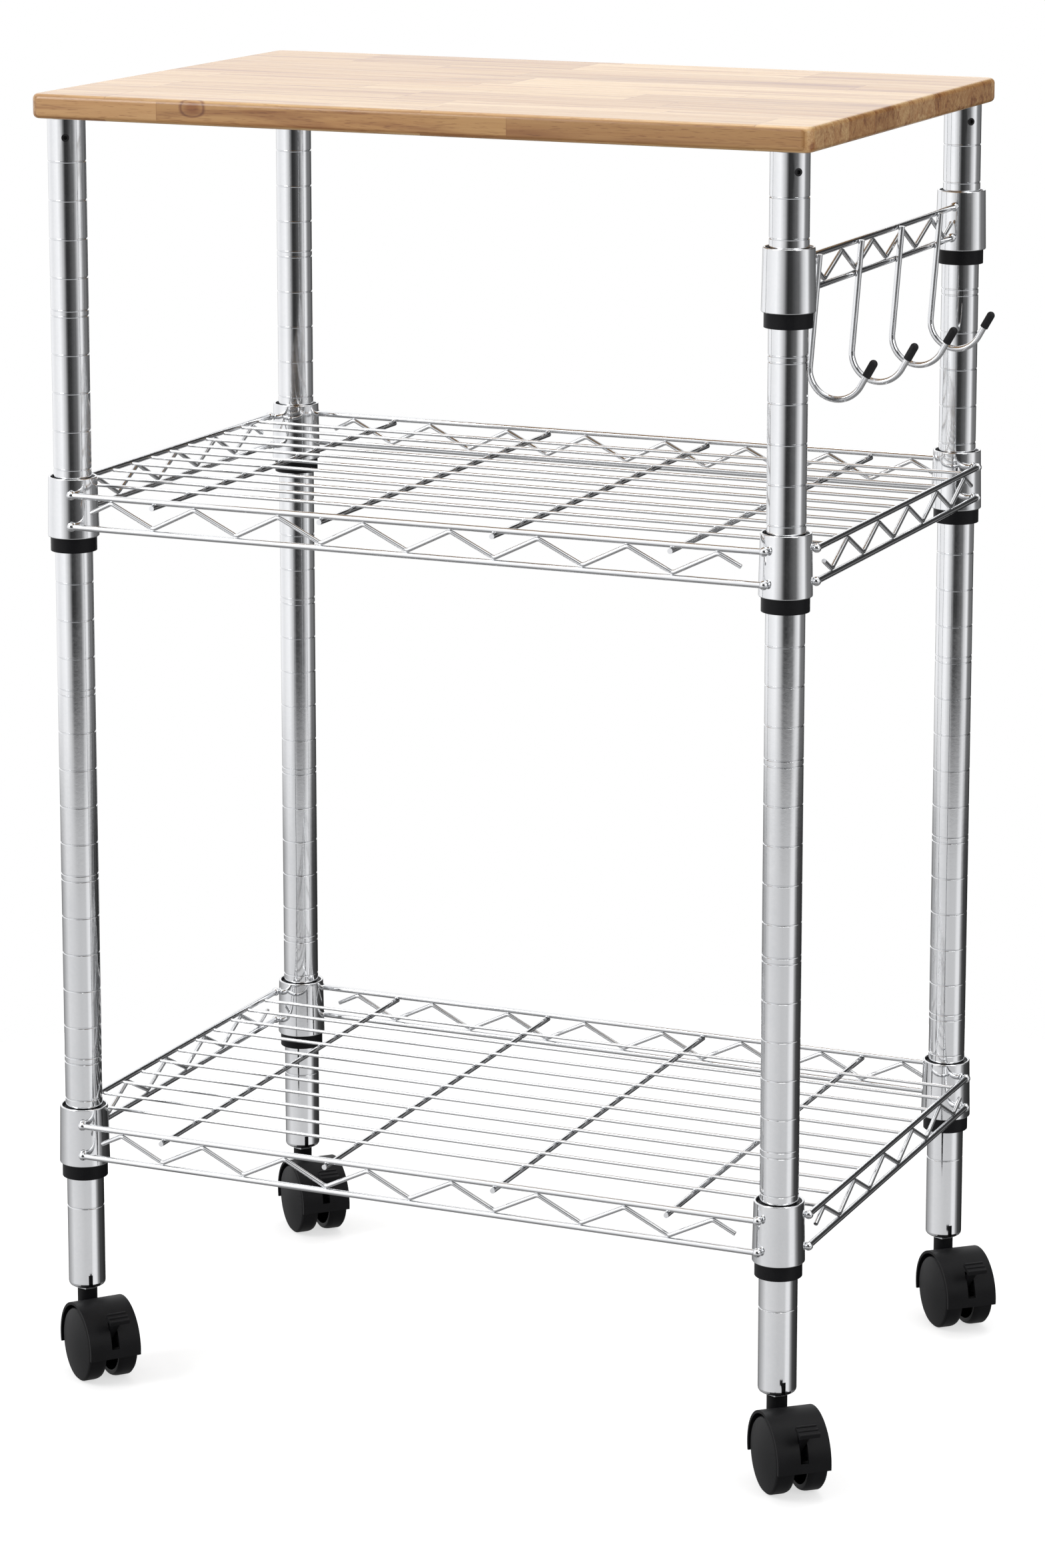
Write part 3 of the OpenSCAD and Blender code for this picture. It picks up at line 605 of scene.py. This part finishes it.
    # thin glue lines between staves, and thinner ones between their lengths
    def near_joint(value):
        part = calc("FRACT", value)
        return calc("MINIMUM", part, calc("SUBTRACT", 1.0, part))

    side_joint = spread(tree, near_joint(row), 0.45, 0.0, 0.0, glue_line)
    end_joint = spread(tree, near_joint(run), 0.55, 0.0, 0.0, glue_line * 0.25)
    joints = calc("MAXIMUM", side_joint, end_joint)
    colour = darken(joints, colour, (0.42, 0.26, 0.15))
    tree.links.new(colour, shader.inputs["Base Color"])

    tree.links.new(spread(tree, streaks, 0.42, 0.56, 0.3, 0.7), shader.inputs["Roughness"])
    shader.inputs["Specular IOR Level"].default_value = 0.25
    shader.inputs["Coat Weight"].default_value = 0.78
    shader.inputs["Coat Roughness"].default_value = 0.22
    height = calc("SUBTRACT", calc("MULTIPLY", streaks, 0.4), calc("ADD", pore_mask, joints))
    relief(tree, shader, height, 0.25, 0.00015)
    return made


low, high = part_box("worktop")
bpy.ops.object.select_all(action="DESELECT")
bpy.ops.mesh.primitive_cube_add(size=1, location=(low + high) / 2, scale=high - low)
board = bpy.context.object
bpy.ops.object.transform_apply(location=True, rotation=True, scale=True)


def pick_edges(obj, upright):
    """In edit mode, selects the upright edges of obj, or else the level ones."""
    bpy.ops.object.mode_set(mode="EDIT")
    bpy.ops.mesh.select_mode(type="EDGE")
    bpy.ops.mesh.select_all(action="DESELECT")
    bpy.ops.object.mode_set(mode="OBJECT")
    for edge in obj.data.edges:
        first, second = (obj.data.vertices[v].co for v in edge.vertices)
        edge.select = (abs(first.z - second.z) > 0.001) == upright
    bpy.ops.object.mode_set(mode="EDIT")


corner_r = 0.007
edge_r = 0.0035
lone(board)
for upright, radius, segments in ((True, corner_r, 8), (False, edge_r, 6)):
    pick_edges(board, upright)
    bpy.ops.mesh.bevel(offset=radius, segments=segments, affect="EDGES")
    bpy.ops.object.mode_set(mode="OBJECT")
smooth(board, 30)
board.name = board.data.name = "worktop_board"
stand_for(board, butcher_block_finish(low, high), "butcher_block", "cart", "worktop")


# ---- Studio ----
# A round of pale paper on the floor in a white room. Metal mirrors the room's darker and lighter
# sides, and the paper keeps the cart's shadow.

bpy.ops.object.select_all(action="DESELECT")
bpy.ops.mesh.primitive_circle_add(vertices=96, radius=0.85, fill_type="NGON", location=(0, 0, 0))
paper = bpy.context.object
paper.name = "paper"
paper.location.z = -0.0002
paper_white, tree, shader, _ = start_finish("paper_white")
shader.inputs["Base Color"].default_value = (0.55, 0.55, 0.55, 1)
shader.inputs["Roughness"].default_value = 0.9
shader.inputs["Specular IOR Level"].default_value = 0.0
light_path = tree.nodes.new("ShaderNodeLightPath")
glow = tree.nodes.new("ShaderNodeEmission")
tree.links.new(math_node(tree, "MULTIPLY", light_path.outputs["Is Camera Ray"], 0.62),
               glow.inputs["Strength"])
both = tree.nodes.new("ShaderNodeAddShader")
tree.links.new(shader.outputs[0], both.inputs[0])
tree.links.new(glow.outputs[0], both.inputs[1])
tree.links.new(both.outputs[0], tree.nodes["Material Output"].inputs["Surface"])
paper.data.materials.append(paper_white)
paper.visible_glossy = False   # metal mirrors the room below, which has the floor in it
paper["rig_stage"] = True

room = bpy.data.worlds.new("room")
bpy.context.scene.world = room
room.use_nodes = True
tree = room.node_tree
output = tree.nodes["World Output"]
ambient = tree.nodes["Background"]
ambient.inputs["Color"].default_value = (1, 1, 1, 1)
ambient.inputs["Strength"].default_value = 0.62   # light on matt surfaces
seen = tree.nodes.new("ShaderNodeBackground")
seen.inputs["Color"].default_value = (1, 1, 1, 1)
mirrored = tree.nodes.new("ShaderNodeBackground")
direction = tree.nodes.new("ShaderNodeTexCoord")
parts = tree.nodes.new("ShaderNodeSeparateXYZ")
tree.links.new(direction.outputs["Generated"], parts.inputs[0])

# A direction's turn round the room, from 0 to 1, with 0.5 towards the camera.
camera_azimuth = 23.621
ahead = math_node(tree, "MULTIPLY", parts.outputs[1], -1.0)
turned = math_node(tree, "ARCTAN2", parts.outputs[0], ahead)
turned = math_node(tree, "SUBTRACT", turned, math.radians(camera_azimuth) - 3 * math.pi)
turned = math_node(tree, "FRACT", math_node(tree, "DIVIDE", turned, 2 * math.pi))


def bands(stops):
    """Brightness of the room all the way round, in degrees to the right of the camera."""
    cool = 1.01   # blue, to red and green
    middle = [((angle + 180) / 360, (level, level, level * cool)) for angle, level in stops[1:-1]]
    ends = ((0.0, (stops[0][1],) * 3), (1.0, (stops[-1][1],) * 3))
    return ramp(tree, turned, (ends[0], *middle, ends[1]))


def climb(first, second, low, high):
    """Goes from the first brightness to the second as a mirrored ray points from low to high."""
    made = put(tree, "ShaderNodeMapRange", From_Min=low, From_Max=high)
    tree.links.new(parts.outputs[2], made.inputs["Value"])
    return mix(tree, made.outputs[0], first, second)


walls = bands((
    (-180, 0.02), (-170, 0.30), (-158, 0.80), (-134, 0.92), (-100, 0.85), (-79, 0.93),
    (-57, 1.00), (-41, 0.74), (-26, 0.44), (-14, 0.10), (-7, 0.027), (8, 0.035), (24, 0.085),
    (41, 0.14), (50, 0.33), (59, 0.58), (76, 0.86), (84, 0.84), (92, 0.40), (102, 0.20),
    (134, 0.14), (158, 0.04), (180, 0.02)))
low_sky = bands((
    (-180, 1.00), (-163, 1.00), (-150, 0.85), (-134, 0.92), (-100, 0.85), (-79, 0.93),
    (-57, 1.00), (-44, 1.00), (-37, 0.12), (-24, 0.06), (-7, 0.03), (8, 0.035), (24, 0.085),
    (41, 0.14), (50, 0.33), (59, 0.58), (76, 0.86), (84, 0.84), (92, 0.40), (102, 0.15),
    (118, 0.04), (158, 0.03), (167, 1.00), (180, 1.00)))
floor_far = bands((
    (-180, 0.05), (-150, 0.24), (-110, 0.48), (-80, 0.72), (-45, 0.66), (0, 0.57), (35, 0.58),
    (50, 0.82), (66, 0.80), (80, 0.26), (95, 0.06), (130, 0.028), (180, 0.02)))
floor_near = (0.22, 0.22, 0.22)
high_sky = (1.0, 1.0, 1.0)
mirrored_room = climb(floor_near, floor_far, -0.7, -0.4)
mirrored_room = climb(mirrored_room, walls, -0.25, -0.215)
mirrored_room = climb(mirrored_room, low_sky, 0.01, 0.05)
mirrored_room = climb(mirrored_room, high_sky, 0.55, 0.85)
tree.links.new(mirrored_room, mirrored.inputs["Color"])
mirrored.inputs["Strength"].default_value = 1.2
rays = tree.nodes.new("ShaderNodeLightPath")
glossy = tree.nodes.new("ShaderNodeMixShader")
tree.links.new(rays.outputs["Is Glossy Ray"], glossy.inputs[0])
tree.links.new(ambient.outputs[0], glossy.inputs[1])
tree.links.new(mirrored.outputs[0], glossy.inputs[2])
final = tree.nodes.new("ShaderNodeMixShader")
tree.links.new(rays.outputs["Is Camera Ray"], final.inputs[0])
tree.links.new(glossy.outputs[0], final.inputs[1])
tree.links.new(seen.outputs[0], final.inputs[2])
tree.links.new(final.outputs[0], output.inputs["Surface"])


def softbox(name, place, target, width, height, power):
    """A rectangular lamp at place that shines on target."""
    lamp = bpy.data.lights.new(name, "AREA")
    lamp.shape = "RECTANGLE"
    lamp.size = width
    lamp.size_y = height
    lamp.energy = power
    made = bpy.data.objects.new(name, lamp)
    bpy.context.scene.collection.objects.link(made)
    made.location = place
    made.rotation_euler = (Vector(target) - Vector(place)).to_track_quat("-Z", "Y").to_euler()


softbox("key_softbox", (-1.9, -2.2, 2.2), (0, 0, 0.45), width=1.4, height=1.8, power=46)
softbox("fill_softbox", (2.6, -1.4, 1.5), (0, 0, 0.45), width=1.2, height=1.6, power=18)
softbox("top_softbox", (0.1, 0.3, 2.9), (0, 0, 0.4), width=1.8, height=1.4, power=26)


# ---- Camera ----
# A long lens, a little above the worktop, looking down on the cart from its front right.

viewpoint = bpy.data.cameras.new("camera")
camera = bpy.data.objects.new("camera", viewpoint)
bpy.context.scene.collection.objects.link(camera)
camera.location = (1.2429, -2.8570, 1.1628)
camera_down = 10.905   # degrees below level
camera.rotation_euler = (math.radians(90 - camera_down), 0, math.radians(camera_azimuth))
viewpoint.lens = 108.88
viewpoint.sensor_width = 36
viewpoint.shift_y = -0.15
viewpoint.clip_start = 0.05
viewpoint.clip_end = 30
bpy.context.scene.camera = camera
bpy.context.scene.view_settings.view_transform = "Standard"

low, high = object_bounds()
